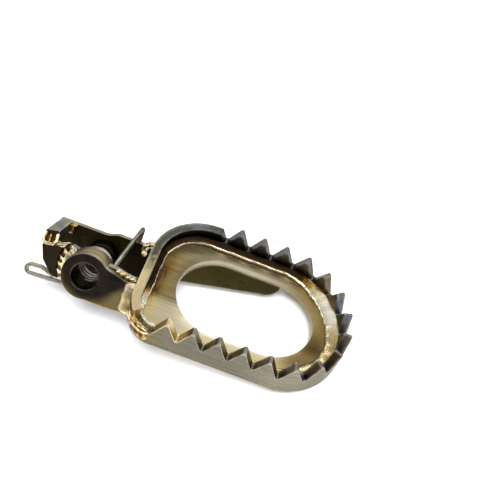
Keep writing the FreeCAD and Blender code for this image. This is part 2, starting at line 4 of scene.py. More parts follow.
import bmesh
import bpy
from mathutils import Matrix, Vector


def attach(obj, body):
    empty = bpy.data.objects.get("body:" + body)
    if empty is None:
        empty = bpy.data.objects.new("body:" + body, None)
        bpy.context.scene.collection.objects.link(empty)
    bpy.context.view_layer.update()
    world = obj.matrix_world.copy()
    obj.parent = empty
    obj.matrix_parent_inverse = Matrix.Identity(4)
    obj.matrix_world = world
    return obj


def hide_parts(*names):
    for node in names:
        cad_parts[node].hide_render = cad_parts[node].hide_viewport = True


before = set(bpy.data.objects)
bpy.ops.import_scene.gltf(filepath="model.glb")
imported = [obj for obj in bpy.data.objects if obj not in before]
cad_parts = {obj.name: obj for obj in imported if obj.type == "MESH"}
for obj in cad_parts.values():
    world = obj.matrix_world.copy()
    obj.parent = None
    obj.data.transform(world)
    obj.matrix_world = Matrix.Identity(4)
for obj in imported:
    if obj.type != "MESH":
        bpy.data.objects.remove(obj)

# Foot peg: heat-tinted titanium platform, leaning hinge mount and torsion spring.
# Lengths are in millimetres here and become metres when a mesh is made.
# The frame's origin is the middle of the pivot bore, +X runs out along the peg, +Z is up.

MM = 0.001
X, Y, Z = Vector((1, 0, 0)), Vector((0, 1, 0)), Vector((0, 0, 1))
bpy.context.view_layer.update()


# -------- the mount's own frame
LEAN = math.radians(33.0)
ALONG_BORE = Vector((0.0, -math.cos(LEAN), math.sin(LEAN)))
UP_ARM = Vector((0.0, math.sin(LEAN), math.cos(LEAN)))


def mount(x, rise, along):
    """Point of the leaning mount: along X, up the arms, along the bore towards the front eye."""
    return X * x + UP_ARM * rise + ALONG_BORE * along


# -------- sizes shared with the solids
BAND_X, TIP_X = 19.5, 105.2
FRONT_Y, REAR_Y = -28.05, 30.05
FRONT_TIP_R, REAR_TIP_R = 26.05, 32.05
REAR_CORNER_R, FRONT_CORNER_R = 23.0, 12.5
BAND_T = 3.7
BAND_LOW, TOOTH_TIP, TOOTH_FLOOR, SMOOTH_TOP = 2.1, 18.1, 10.0, 14.6
CORNER_TOP = 8.4
PITCH, FIRST_TOOTH_X = 10.0, 36.3
FLOOR_FROM_TOOTH = 4.5               # the valley's flat starts this far from a tooth's middle
FIRST_FLANK = 4.6                    # length of the first tooth's near half
TOOTH_SLOPE = 8.1 / 3.95
TOOTH_ROUND = 0.4
TEETH_END, STRIP_START = 155, 160    # lengths along the band
PLATE_TOP, PLATE_LOW = 8.1, 4.1
OPENING_R, OPENING_Y = 18.7, 0.2
OPENING_LEFT, OPENING_RIGHT = 52.6, 72.6     # centres of its two round ends
EYE_R, BORE_R, REAR_BOSS_R = 9.2, 5.05, 6.7
EYE_FACE, ARM_IN, BOSS_IN = 17.0, 13.5, 6.5


# -------- mesh helpers
def new_mesh(name, points, faces, sharp_deg=40.0):
    """Mesh object from points in millimetres, smooth except across sharp edges."""
    mesh = bpy.data.meshes.new(name)
    mesh.from_pydata([Vector(p) * MM for p in points], [], faces)
    tidy = bmesh.new()
    tidy.from_mesh(mesh)
    bmesh.ops.recalc_face_normals(tidy, faces=tidy.faces)
    tidy.to_mesh(mesh)
    tidy.free()
    mesh.shade_smooth()
    mesh.set_sharp_from_angle(angle=math.radians(sharp_deg))
    obj = bpy.data.objects.new(name, mesh)
    bpy.context.scene.collection.objects.link(obj)
    return obj


def loft(name, rings, closed_run, sharp_deg=40.0, attributes=None):
    """Skin over rings of equal length. A run that isn't closed gets end caps."""
    count = len(rings[0])
    points = [p for ring in rings for p in ring]
    faces = []
    for i in range(len(rings) if closed_run else len(rings) - 1):
        a, b = i * count, ((i + 1) % len(rings)) * count
        for k in range(count):
            n = (k + 1) % count
            faces.append((a + k, a + n, b + n, b + k))
    if not closed_run:
        faces.append(tuple(range(count)))
        faces.append(tuple(range(len(points) - count, len(points))))
    obj = new_mesh(name, points, faces, sharp_deg)
    for label, values in (attributes or {}).items():
        layer = obj.data.attributes.new(label, "FLOAT_VECTOR", "POINT")
        layer.data.foreach_set("vector", [c * MM for v in values for c in v])
    return obj


def place(obj, body, slot, *nodes):
    """Put a finished piece on its body, in place of the CAD nodes it stands for."""
    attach(obj, body)
    if nodes:
        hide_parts(*nodes)
    return obj


# -------- platform outline
class Loop:
    """The platform's plan outline at some inset, measured by length from the first tooth:
    along the front, round the tip, back along the rear and round the mount end."""

    def __init__(self, inset):
        front, rear = FRONT_Y + inset, REAR_Y - inset
        left, tip = BAND_X + inset, TIP_X - inset
        front_tip, rear_tip = FRONT_TIP_R - inset, REAR_TIP_R - inset
        rear_corner, front_corner = REAR_CORNER_R - inset, FRONT_CORNER_R - inset
        quarter = math.pi / 2
        self.runs = [
            ("line", (FIRST_TOOTH_X, front), (1, 0), TIP_X - FRONT_TIP_R - FIRST_TOOTH_X),
            ("arc", (tip - front_tip, front + front_tip), front_tip, -quarter),
            ("arc", (tip - rear_tip, rear - rear_tip), rear_tip, 0.0),
            ("line", (TIP_X - REAR_TIP_R, rear), (-1, 0), TIP_X - REAR_TIP_R - BAND_X - REAR_CORNER_R),
            ("arc", (left + rear_corner, rear - rear_corner), rear_corner, quarter),
            ("line", (left, REAR_Y - REAR_CORNER_R), (0, -1),
             REAR_Y - REAR_CORNER_R - FRONT_Y - FRONT_CORNER_R),
            ("arc", (left + front_corner, front + front_corner), front_corner, math.pi),
            ("line", (BAND_X + FRONT_CORNER_R, front), (1, 0), FIRST_TOOTH_X - BAND_X - FRONT_CORNER_R),
        ]
        self.lengths = [run[3] if run[0] == "line" else run[2] * quarter for run in self.runs]
        self.total = sum(self.lengths)

    def at(self, distance):
        """Point and outward direction."""
        distance %= self.total
        for run, length in zip(self.runs, self.lengths):
            if distance <= length:
                break
            distance -= length
        if run[0] == "line":
            x, y = run[1]
            dx, dy = run[2]
            return Vector((x + dx * distance, y + dy * distance, 0)), Vector((dy, -dx, 0))
        angle = run[3] + distance / run[2]
        out = Vector((math.cos(angle), math.sin(angle), 0))
        return Vector((run[1][0], run[1][1], 0)) + out * run[2], out

    def start_of(self, index):
        return sum(self.lengths[:index])


MIDDLE = Loop(BAND_T / 2)
CORNER_MID_R = FRONT_CORNER_R - BAND_T / 2
SEAM_Y = -23.0                       # where the smooth strip ends at the front inner corner
SEAM_TURN = math.asin((FRONT_Y + FRONT_CORNER_R - SEAM_Y) / CORNER_MID_R)
SEAM = MIDDLE.start_of(6) + CORNER_MID_R * SEAM_TURN


def soft_min(a, b, blend):
    """Smaller of two, rounded where they cross."""
    h = max(blend - abs(a - b), 0.0) / blend
    return min(a, b) - h * h * blend / 4


def from_tooth(distance):
    """Length along the band to the nearest tooth's middle."""
    return abs((distance + PITCH / 2) % PITCH - PITCH / 2)


def band_top(distance):
    """Height of the band's top edge along its length."""
    distance %= MIDDLE.total
    if distance > MIDDLE.total - FIRST_FLANK:
        distance -= MIDDLE.total
    flank = TOOTH_FLOOR + (FLOOR_FROM_TOOTH - from_tooth(distance)) * TOOTH_SLOPE
    tooth = soft_min(flank, TOOTH_TIP, TOOTH_ROUND)
    tooth = -soft_min(-tooth, -TOOTH_FLOOR, TOOTH_ROUND)
    if distance < TEETH_END:
        return tooth
    if distance < STRIP_START:
        return min(soft_min(tooth, SMOOTH_TOP, TOOTH_ROUND), SMOOTH_TOP)
    if distance < SEAM:
        return SMOOTH_TOP
    return CORNER_TOP


# -------- band
def build_band():
    """The toothed strip. Its points carry two attributes for the finish: brush (distance, height,
    distance outwards) and wear (top rim, tooth's tip, height below the top)."""
    count = int(MIDDLE.total / 0.24)
    places = sorted([i * MIDDLE.total / count for i in range(count)] + [SEAM - 0.02, SEAM + 0.02])
    half, soft = BAND_T / 2, 0.22
    levels = (0.06, 0.2, 0.4, 0.6, 0.8, 0.94)
    rings, brush, wear = [], [], []
    for d in places:
        centre, out = MIDDLE.at(d)
        top = band_top(d)
        side = [(half, BAND_LOW + (top - soft - BAND_LOW) * k) for k in levels]
        edge = [(half, top - soft), (half - soft * 0.3, top - soft * 0.3), (half - soft, top)]
        foot = [(half - 0.3, BAND_LOW), (half - 0.08, BAND_LOW + 0.08)]
        outer = foot + side + edge + [(half * 0.4, top)]
        shape = outer + [(-u, z) for u, z in reversed(outer)]
        rings.append([centre + out * u + Z * z for u, z in shape])
        brush.extend([Vector((d, z, u)) for u, z in shape])
        tip = max(top - TOOTH_TIP + 1.0, 0.0)
        for u, z in shape:
            at_top = z > top - soft - 0.01
            rim = 1.0 if at_top and abs(u) > half - soft - 0.01 else 0.0
            wear.append(Vector((rim, tip if at_top else 0.0, top - z)))
    return loft("cleat_band_metal", rings, True, sharp_deg=50, attributes={"brush": brush, "wear": wear})


# -------- plate
def opening(offset, share):
    """Point outside the opening's edge by an offset, at a share of the way round it."""
    radius = OPENING_R + offset
    straight, arc = OPENING_RIGHT - OPENING_LEFT, math.pi * radius
    d = share * 2 * (straight + arc)
    half, d = divmod(d, straight + arc)
    middle, facing = (OPENING_LEFT, -1) if half else (OPENING_RIGHT, 1)
    if d < arc:
        angle = d / radius - math.pi / 2
        x, y = radius * math.cos(angle), radius * math.sin(angle)
    else:
        x, y = arc - d, radius
    return Vector((middle + x * facing, OPENING_Y + y * facing, 0))


def build_plate():
    """Flat plate from the opening's edge out to the band, as rings across its section."""
    count = 480
    outer = Loop(BAND_T)
    start = 36.3                         # length round the loop opposite the opening's first point
    soft, break_edge = 0.12, 0.45        # the two offsets of the opening's eased edge
    rings = []
    for i in range(count):
        share = i / count
        far, _ = outer.at(start + share * outer.total)
        edge, inset, flat = (opening(offset, share) for offset in (0.0, soft, break_edge))
        high = [edge + Z * (PLATE_TOP - break_edge), inset + Z * (PLATE_TOP - soft), flat + Z * PLATE_TOP]
        across = [flat.lerp(far, t) + Z * PLATE_TOP for t in (0.3, 0.65, 1.0)]
        below = [flat.lerp(far, t) + Z * PLATE_LOW for t in (1.0, 0.5, 0.0)]
        low = [inset + Z * (PLATE_LOW + soft), edge + Z * (PLATE_LOW + break_edge)]
        rings.append(high + across + below + low)
    return loft("platform_plate_metal", rings, True, sharp_deg=35)


# -------- welds
RIPPLE_RISE = 0.18                   # share of a ripple's pitch on its steep side


def end_size(d, total, taper, least):
    """How full a bead is at a distance along it: rounded down to a least size at both ends."""
    edge = min(d, total - d) / taper
    return math.sqrt(max(1 - (1 - min(edge, 1.0)) ** 2, least))


def heading_at(points, i):
    return (points[min(i + 1, len(points) - 1)] - points[max(i - 1, 0)]).normalized()


def ripple_at(d, arch, pitch, phase, bow=0.75):
    """Height of the overlapping crescents, 0 to 1, at a distance along a bead."""
    saw = (d / pitch - bow * arch + 0.1 * math.sin(d * 0.9 + phase) + 0.05 * math.sin(d * 2.3)) % 1.0
    return (1 - saw) ** 1.4 if saw > RIPPLE_RISE else saw / RIPPLE_RISE * 0.757


def bead(name, path, legs, pitch, closed=False, swell=0.55, ripple=0.16, taper=0.0, seed=1,
         across=13, wander=0.0, crest=1.0, bow=0.75):
    """Rippled fillet bead. Path gives (corner point, direction of toe A, direction of toe B) at
    even steps of length; legs are how far each toe lies from the corner, or a function of the
    corner point that gives them. The surface bulges between the toes, nearer toe A where crest
    is under 1, and overlapping crescents ripple along it. The attribute bead holds (ripple,
    place across from toe A, distance)."""
    rng = random.Random(seed)
    phases = [rng.uniform(0, math.tau) for _ in range(4)]
    total = path[-1][3]
    rings, marks = [], []
    for corner, a, b, d in path:
        grow = 1.0 if closed or not taper else end_size(d, total, taper, 0.02)
        wave = (math.sin(d * 0.55 + phases[0]) + math.sin(d * 1.3 + phases[1]) * 0.6) * wander
        long_a, long_b = legs(corner) if callable(legs) else legs
        leg_a, leg_b = (long_a + wave) * grow, (long_b + wave * 0.5) * grow
        toe_a, toe_b = corner + a * leg_a, corner + b * leg_b
        bulge = (a + b).normalized()
        ring = [corner - (a + b) * 0.25]
        marks.append(Vector((0, 0, d)))
        for k in range(across + 1):
            v = k / across
            arch = math.sin(math.pi * v ** crest)
            ridge = ripple_at(d, arch, pitch, phases[2], bow)
            lift = swell * arch ** 0.8 + ripple * (ridge - 0.45) * (arch ** 0.5)
            ring.append(toe_a.lerp(toe_b, v) + bulge * lift * grow)
            marks.append(Vector((ridge * arch, v, d)))
        rings.append(ring)
    return loft(name, rings, closed, sharp_deg=75, attributes={"bead": marks})


def straight_path(start, end, a, b, step=0.16):
    length = (end - start).length
    count = max(int(length / step), 4)
    return [(start.lerp(end, i / count), a, b, length * i / count) for i in range(count + 1)]


def ease(value, low, high):
    """0 below low, 1 above high, smooth between."""
    t = min(max((value - low) / (high - low), 0.0), 1.0)
    return t * t * (3 - 2 * t)


def platform_legs(corner):
    """The platform bead's legs: narrow at the mount end, wide along the rear, widest at the tip,
    and low along the front."""
    tip = ease(corner.x, 76, 94)
    rear = ease(corner.y, -16, 8)
    front = (1 - ease(corner.y, -22, -15)) * (1 - ease(corner.x, 84, 94))
    mount_end = 1 - ease(corner.x, 26, 44)
    across = 2.4 + 1.2 * rear * (1 - mount_end) + 1.5 * tip - 1.1 * front
    return across, 1.7 + 0.6 * rear + 0.3 * tip - 0.8 * front


def loop_bead_path(inset, height, step=0.16):
    """Path for the bead in the corner between the plate and the band's inner face."""
    loop = Loop(inset)
    count = int(loop.total / step)
    path = []
    for i in range(count):
        d = loop.total * i / count
        point, out = loop.at(d)
        path.append((point + Z * height, -out, Z, d))
    return path


def ring_path(along, from_deg, to_deg, radius, b_dir, step=0.14):
    """Path round the bore's axis, in the corner at a boss's wall."""
    sweep = math.radians(to_deg - from_deg)
    count = int(abs(sweep) * radius / step)
    path = []
    for i in range(count + 1):
        angle = math.radians(from_deg) + sweep * i / count
        out = X * math.cos(angle) + UP_ARM * math.sin(angle)
        path.append((ALONG_BORE * along + out * radius, out, b_dir, abs(sweep) * radius * i / count))
    return path


def round_bead(name, path, pitch, ripple=0.2, seed=3):
    """Rippled bead with a rounded section. Path gives (middle, side, up, half width, height, d)."""
    around = 22
    phase = random.Random(seed).uniform(0, math.tau)
    rings, marks = [], []
    for middle, side, up, wide, high, d in path:
        ring = []
        for k in range(around):
            turn = math.tau * k / around
            c, s = math.cos(turn), math.sin(turn)
            arch = max(s, 0) * (1 - abs(c))
            ridge = ripple_at(d, arch, pitch, phase)
            swell = 1 + ripple * (ridge - 0.5) * (1 if s > -0.2 else 0)
            ring.append(middle + side * (c * wide * swell) + up * (s * high * swell))
            marks.append(Vector((ridge, 0.5 + 0.5 * c, d)))
        rings.append(ring)
    return loft(name, rings, False, sharp_deg=75, attributes={"bead": marks})


def lump_path(points, side, wide, high, bend=2.0, taper=1.2, step=0.14):
    """Path of a round bead through a few of the mount's points, its ends rounded off."""
    dense = smooth_route([mount(*point) for point in points], bend, step)
    lengths = [0.0]
    for a, b in zip(dense, dense[1:]):
        lengths.append(lengths[-1] + (b - a).length)
    path = []
    for i, (p, d) in enumerate(zip(dense, lengths)):
        if i and d - path[-1][5] < step * 0.6:
            continue
        heading = heading_at(dense, i)
        across = (side - heading * side.dot(heading)).normalized()
        grow = end_size(d, lengths[-1], taper, 0.03)
        path.append((p, across, heading.cross(across) * -1, wide * grow, high * grow, d))
    return path


def corner_bead_path(radius, height, from_deg, to_deg, wide, high):
    """Path of a round bead over the front inner corner. Angles run from the front."""
    centre = Vector((BAND_X + FRONT_CORNER_R, FRONT_Y + FRONT_CORNER_R, height))
    length = math.radians(to_deg - from_deg) * radius
    count = int(length / 0.14)
    path = []
    for i in range(count + 1):
        d = length * i / count
        angle = math.radians(from_deg) + d / radius
        out = Vector((-math.sin(angle), -math.cos(angle), 0))
        grow = end_size(d, length, 3.0, 0.04)
        path.append((centre + out * radius, out, Z, wide * grow, high * grow, d))
    return path


# -------- mount pieces from the solids
def refined(node, width):
    """Copy of a CAD solid with merged flats and softened edges, standing for that node."""
    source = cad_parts[node]
    name = node.replace("_plate", "") + "_metal"
    mesh = source.data.copy()
    mesh.name = name
    mesh.materials.clear()
    work = bmesh.new()
    work.from_mesh(mesh)
    bmesh.ops.remove_doubles(work, verts=work.verts, dist=1e-6)
    bmesh.ops.dissolve_limit(work, angle_limit=math.radians(0.6), verts=work.verts, edges=work.edges)
    work.to_mesh(mesh)
    work.free()
    mesh.shade_smooth()
    obj = bpy.data.objects.new(name, mesh)
    bpy.context.scene.collection.objects.link(obj)
    soften = obj.modifiers.new("soften", "BEVEL")
    soften.width = width * MM
    soften.segments = 3
    soften.limit_method = "ANGLE"
    soften.angle_limit = math.radians(28)
    weigh = obj.modifiers.new("weigh", "WEIGHTED_NORMAL")
    weigh.keep_sharp = True
    return place(obj, "peg", "arm_metal", node)


def lathe(name, profile):
    """Turned ring about the bore. Profile is (distance along the bore, radius)."""
    segments = 96
    rings = []
    for i in range(segments):
        angle = math.tau * i / segments
        out = X * math.cos(angle) + UP_ARM * math.sin(angle)
        rings.append([ALONG_BORE * along + out * radius for along, radius in profile])
    return loft(name, rings, True, sharp_deg=30)


# -------- spring
COIL_R, COIL_FRONT, COIL_REAR, HOOK_DEG, LEG_DEG = 6.15, 5.3, -3.6, -24.0, -90.0
WIRE_R = 0.95
TURNED = HOOK_DEG - LEG_DEG + 360.0 * 3


def wire(name, points, radius=WIRE_R):
    """Round wire through a dense run of points, with rounded ends."""
    sides, closest, end_length = 20, 0.175, 0.35
    dense = [points[0]]
    for p in points[1:]:
        if (p - dense[-1]).length >= closest:
            dense.append(p)
    spine = []
    normal = heading_at(dense, 0).orthogonal().normalized()
    for i, p in enumerate(dense):
        heading = heading_at(dense, i)
        normal = (normal - heading * normal.dot(heading)).normalized()
        spine.append((p, heading, normal, heading.cross(normal)))

    def ring(at, share=1.0, outward=0.0):
        """Section of the wire; a share under 1 belongs to the rounded end."""
        p, heading, normal, side = at
        r = radius * math.sqrt(1 - (1 - share) ** 2)
        middle = p + heading * (outward * end_length * (1 - share))
        turns = [math.tau * k / sides for k in range(sides)]
        return [middle + (normal * math.cos(turn) + side * math.sin(turn)) * r for turn in turns]

    shares = (0.25, 0.6, 0.9)
    rings = [ring(spine[0], share, -1.0) for share in shares]
    rings += [ring(at) for at in spine]
    rings += [ring(spine[-1], share, 1.0) for share in reversed(shares)]
    return loft(name, rings, False, sharp_deg=50)


def smooth_route(points, bend, step=0.35):
    """Dense points along straight runs joined by tangent arcs."""
    out = [points[0]]
    last = points[0]
    for before, corner, after in zip(points, points[1:], points[2:]):
        into, leave = (corner - before).normalized(), (after - corner).normalized()
        turn = into.angle(leave)
        room = 0.48 * min((corner - before).length, (after - corner).length)
        trim = min(room, bend * math.tan(turn / 2))
        radius = trim / math.tan(turn / 2)
        start = corner - into * trim
        inward = (leave - into).normalized()
        centre = corner + inward * (radius / math.cos(turn / 2))
        count = max(int((start - last).length / step), 1)
        out += [last.lerp(start, i / count) for i in range(1, count + 1)]
        arc_steps = max(int(radius * turn / step), 4)
        spoke = start - centre
        axis = into.cross(leave).normalized()
        for i in range(1, arc_steps + 1):
            out.append(centre + Matrix.Rotation(turn * i / arc_steps, 3, axis) @ spoke)
        last = out[-1]
    count = max(int((points[-1] - last).length / step), 1)
    out += [last.lerp(points[-1], i / count) for i in range(1, count + 1)]
    return out


def coil_point(share):
    """Point on the coil's middle line, from the hooked leg's end (0) to the long leg's (1)."""
    angle = math.radians(HOOK_DEG - TURNED * share)
    along = COIL_REAR + (COIL_FRONT - COIL_REAR) * share
    return mount(COIL_R * math.cos(angle), COIL_R * math.sin(angle), along)


def build_spring():
    coil = [coil_point(i / 420) for i in range(421)]
    start = coil[0]
    leaves = math.radians(HOOK_DEG)
    heading = mount(-math.sin(leaves), math.cos(leaves), 0)
    hook = smooth_route([
        start, start + heading * 3.0,
        mount(11.9, 16.2, -12.1), mount(11.9, 16.2, -18.5), mount(11.9, 9.2, -18.5),
    ], 3.2)
    whole = wire("spring_wire", list(reversed(hook))[:-1] + coil)
    place(whole, "peg", "spring_steel", "spring_coil", "spring_hook")
    # The long leg's wire starts a little way back inside the coil's, so no gap opens as it swings.
    back = [coil_point(1 - 0.022 * (8 - i) / 8) for i in range(8)]
    end = coil[-1]
    leg = smooth_route([
        end, end + mount(-3.0, -0.1, -0.4),
        mount(-9.5, -11.2, 2.9), mount(-25.3, -12.1, 2.7), mount(-25.0, -8.3, 2.7),
        mount(-19.5, -7.8, 2.7), mount(-14.0, -9.7, 2.7),
    ], 3.0)
    swing = wire("spring_leg_wire", back + leg, radius=WIRE_R - 0.01)
    place(swing, "leg", "spring_steel", "spring_leg")
    return whole, swing


# -------- materials
class Graph:
    """Small helper for building nodes."""

    def __init__(self, tree):
        self.tree = tree

    def feed(self, socket, value):
        if isinstance(value, bpy.types.NodeSocket):
            self.tree.links.new(value, socket)
        elif value is not None:
            socket.default_value = value

    def node(self, kind, inputs=None, **settings):
        """New node. Its inputs are given by name or number, as sockets or plain values."""
        made = self.tree.nodes.new("ShaderNode" + kind)
        for key, value in settings.items():
            setattr(made, key, value)
        for key, value in (inputs or {}).items():
            self.feed(made.inputs[key], value)
        return made

    def vector(self, operation, a, b=None, scale=None):
        made = self.node("VectorMath", {0: a, 1: b}, operation=operation)
        if scale is not None:
            self.feed(made.inputs["Scale"], scale)
        return made.outputs["Value" if operation in ("DISTANCE", "DOT_PRODUCT", "LENGTH") else "Vector"]

    def axis(self, source, name):
        return self.node("SeparateXYZ", {0: source}).outputs[name]

    def combine(self, x, y=None):
        return self.node("CombineXYZ", {0: x, 1: y}).outputs[0]

    def math(self, operation, a, b=None, clamp=False):
        return self.node("Math", {0: a, 1: b}, operation=operation, use_clamp=clamp).outputs[0]

    def times(self, *factors):
        out = factors[0]
        for factor in factors[1:]:
            out = self.math("MULTIPLY", out, factor)
        return out

    def total(self, *values):
        out = values[0]
        for value in values[1:]:
            out = self.math("ADD", out, value)
        return out

    def invert(self, value):
        return self.math("SUBTRACT", 1.0, value)

    def sway(self, noise, amount):
        """Noise moved to lie round 0, then scaled."""
        return self.times(self.math("SUBTRACT", noise, 0.5), amount)

    def remap(self, value, low, high, to_low=0.0, to_high=1.0, smooth=True):
        span = {"Value": value, "From Min": low, "From Max": high, "To Min": to_low, "To Max": to_high}
        return self.node("MapRange", span,
                         interpolation_type="SMOOTHSTEP" if smooth else "LINEAR").outputs["Result"]

    def rough(self, noise, low, high):
        return self.remap(noise, 0.3, 0.7, low, high, smooth=False)

    def ramp(self, value, stops):
        made = self.node("ValToRGB", {"Fac": value})
        elements = made.color_ramp.elements
        while len(elements) < len(stops):
            elements.new(0.5)
        for element, (at, color) in zip(elements, stops):
            element.position = at
            element.color = (*color, 1.0)
        return made.outputs["Color"]

    def mix(self, factor, a, b, blend="MIX"):
        a, b = ((*value, 1.0) if isinstance(value, tuple) else value for value in (a, b))
        made = self.node("Mix", data_type="RGBA", blend_type=blend)
        for socket, value in ((made.inputs["Factor"], factor), (made.inputs[6], a), (made.inputs[7], b)):
            self.feed(socket, value)
        return made.outputs[2]

    def stain(self, factor, tint, by):
        """The tint, multiplied by a colour as far as the factor says."""
        return self.mix(factor, tint, self.mix(1.0, tint, by, "MULTIPLY"))


class Surface(Graph):
    """Nodes of one material. Positions are object coordinates in mm."""

    def __init__(self, name):
        self.material = bpy.data.materials.new(name)
        self.material.use_nodes = True
        super().__init__(self.material.node_tree)
        self.tree.nodes.clear()
        self.shader = self.node("BsdfPrincipled")
        self.node("OutputMaterial", {"Surface": self.shader.outputs["BSDF"]})
        coords = self.node("TexCoord")
        self.position = self.vector("SCALE", coords.outputs["Object"], scale=1 / MM)
        self.normal = coords.outputs["Normal"]

    def attribute(self, name):
        """Mesh attribute, in millimetres."""
        made = self.node("Attribute", attribute_name=name)
        return self.vector("SCALE", made.outputs["Vector"], scale=1 / MM)

    def along_bore(self):
        return self.vector("DOT_PRODUCT", self.position, ALONG_BORE)

    def bore_radius(self):
        """Distance from the bore's axis."""
        return self.vector("LENGTH", self.vector("CROSS_PRODUCT", self.position, ALONG_BORE))

    def near(self, point, full, none):
        """1 close to a point (mm), 0 further off."""
        distance = self.vector("DISTANCE", self.position, point)
        return self.remap(distance, full, none, 1.0, 0.0)

    def noise(self, scale, detail=3.0, stretch=(1, 1, 1), source=None, rough=0.55, distortion=0.0):
        """Noise over millimetres; scale is in features per millimetre."""
        mapping = self.node("Mapping", {"Vector": source or self.position, "Scale": stretch})
        return self.node("TexNoise", {
            "Vector": mapping.outputs["Vector"], "Scale": scale, "Detail": detail,
            "Roughness": rough, "Distortion": distortion}).outputs["Fac"]

    def wear_edges(self, tint, radius, share, worn):
        """The tint, rubbed to another colour along outside edges."""
        rounded = self.node("Bevel", {"Radius": radius * MM}, samples=4)
        flat = self.node("NewGeometry")
        same = self.vector("DOT_PRODUCT", rounded.outputs["Normal"], flat.outputs["Normal"])
        return self.mix(self.times(self.remap(same, 0.995, 0.86), share), tint, worn)

    def bumps(self, *layers):
        """Stack of (height socket, depth in millimetres)."""
        normal = None
        for height, depth in layers:
            layer = {"Distance": depth * MM, "Strength": 1.0, "Height": height, "Normal": normal}
            normal = self.node("Bump", layer).outputs["Normal"]
        self.feed(self.shader.inputs["Normal"], normal)

    def edge_tint(self, level):
        """How bright the metal gets at grazing angles."""
        self.shader.inputs["Specular Tint"].default_value = (level, level * 0.97, level * 0.92, 1.0)

    def finish(self, color, roughness, metallic=1.0):
        self.feed(self.shader.inputs["Base Color"], color)
        self.feed(self.shader.inputs["Roughness"], roughness)
        self.shader.inputs["Metallic"].default_value = metallic
        return self.material


def paint(material, *objects):
    for obj in objects:
        obj.data.materials.clear()
        obj.data.materials.append(material)


# Oxide colours on heated titanium, from bare brushed metal to the hottest.
OXIDE = [
    (0.0, (0.34, 0.32, 0.265)),
    (0.2, (0.36, 0.315, 0.205)),
    (0.36, (0.4, 0.315, 0.135)),
    (0.48, (0.33, 0.215, 0.06)),
    (0.58, (0.16, 0.09, 0.03)),
    (0.67, (0.085, 0.042, 0.06)),
    (0.76, (0.035, 0.042, 0.135)),
    (0.87, (0.1, 0.135, 0.2)),
    (1.0, (0.24, 0.26, 0.285)),
]
# The smooth strip's top, from the front corner round to the rear.
STRIP_TOP = [
    (0.0, (0.72, 0.55, 0.31)),
    (0.14, (0.78, 0.64, 0.32)),
    (0.3, (0.105, 0.098, 0.056)),
    (0.5, (0.1, 0.098, 0.082)),
    (0.62, (0.155, 0.16, 0.155)),
    (0.85, (0.02, 0.022, 0.024)),
]
# The stop bar's top, pale to purple.
STOP_TOP = [
    (0.0, (0.42, 0.39, 0.3)),
    (0.16, (0.34, 0.325, 0.27)),
    (0.3, (0.23, 0.225, 0.235)),
    (0.42, (0.14, 0.135, 0.19)),
]
# Weld metal, from bright to burnt.
WELD = [
    (0.0, (0.6, 0.58, 0.52)),
    (0.22, (0.76, 0.69, 0.5)),
    (0.42, (0.6, 0.46, 0.2)),
    (0.58, (0.42, 0.26, 0.07)),
    (0.72, (0.17, 0.078, 0.014)),
    (0.86, (0.05, 0.021, 0.005)),
    (1.0, (0.026, 0.016, 0.008)),
]
DRAWN_WIRE = [(0.3, (0.33, 0.31, 0.25)), (0.6, (0.4, 0.38, 0.31)), (0.8, (0.24, 0.21, 0.16))]
SOOT = (0.03, 0.017, 0.007)         # scale beside the welds
WARM_SCALE = (0.13, 0.085, 0.028)
BRONZE = (0.15, 0.122, 0.072)
KHAKI = (0.36, 0.325, 0.235)
WORN = (0.62, 0.595, 0.53)
WORN_ARM = (0.55, 0.51, 0.42)
DEEP_BLUE = (0.02, 0.025, 0.11)
SCRIBED = (0.05, 0.04, 0.02)
UNLIT = (0.004, 0.003, 0.002)
OLIVE_GOLD = (0.16, 0.135, 0.045)
# Colour of a painted highlight.
HIGHLIGHT_CREAM = (0.99, 0.95, 0.78)


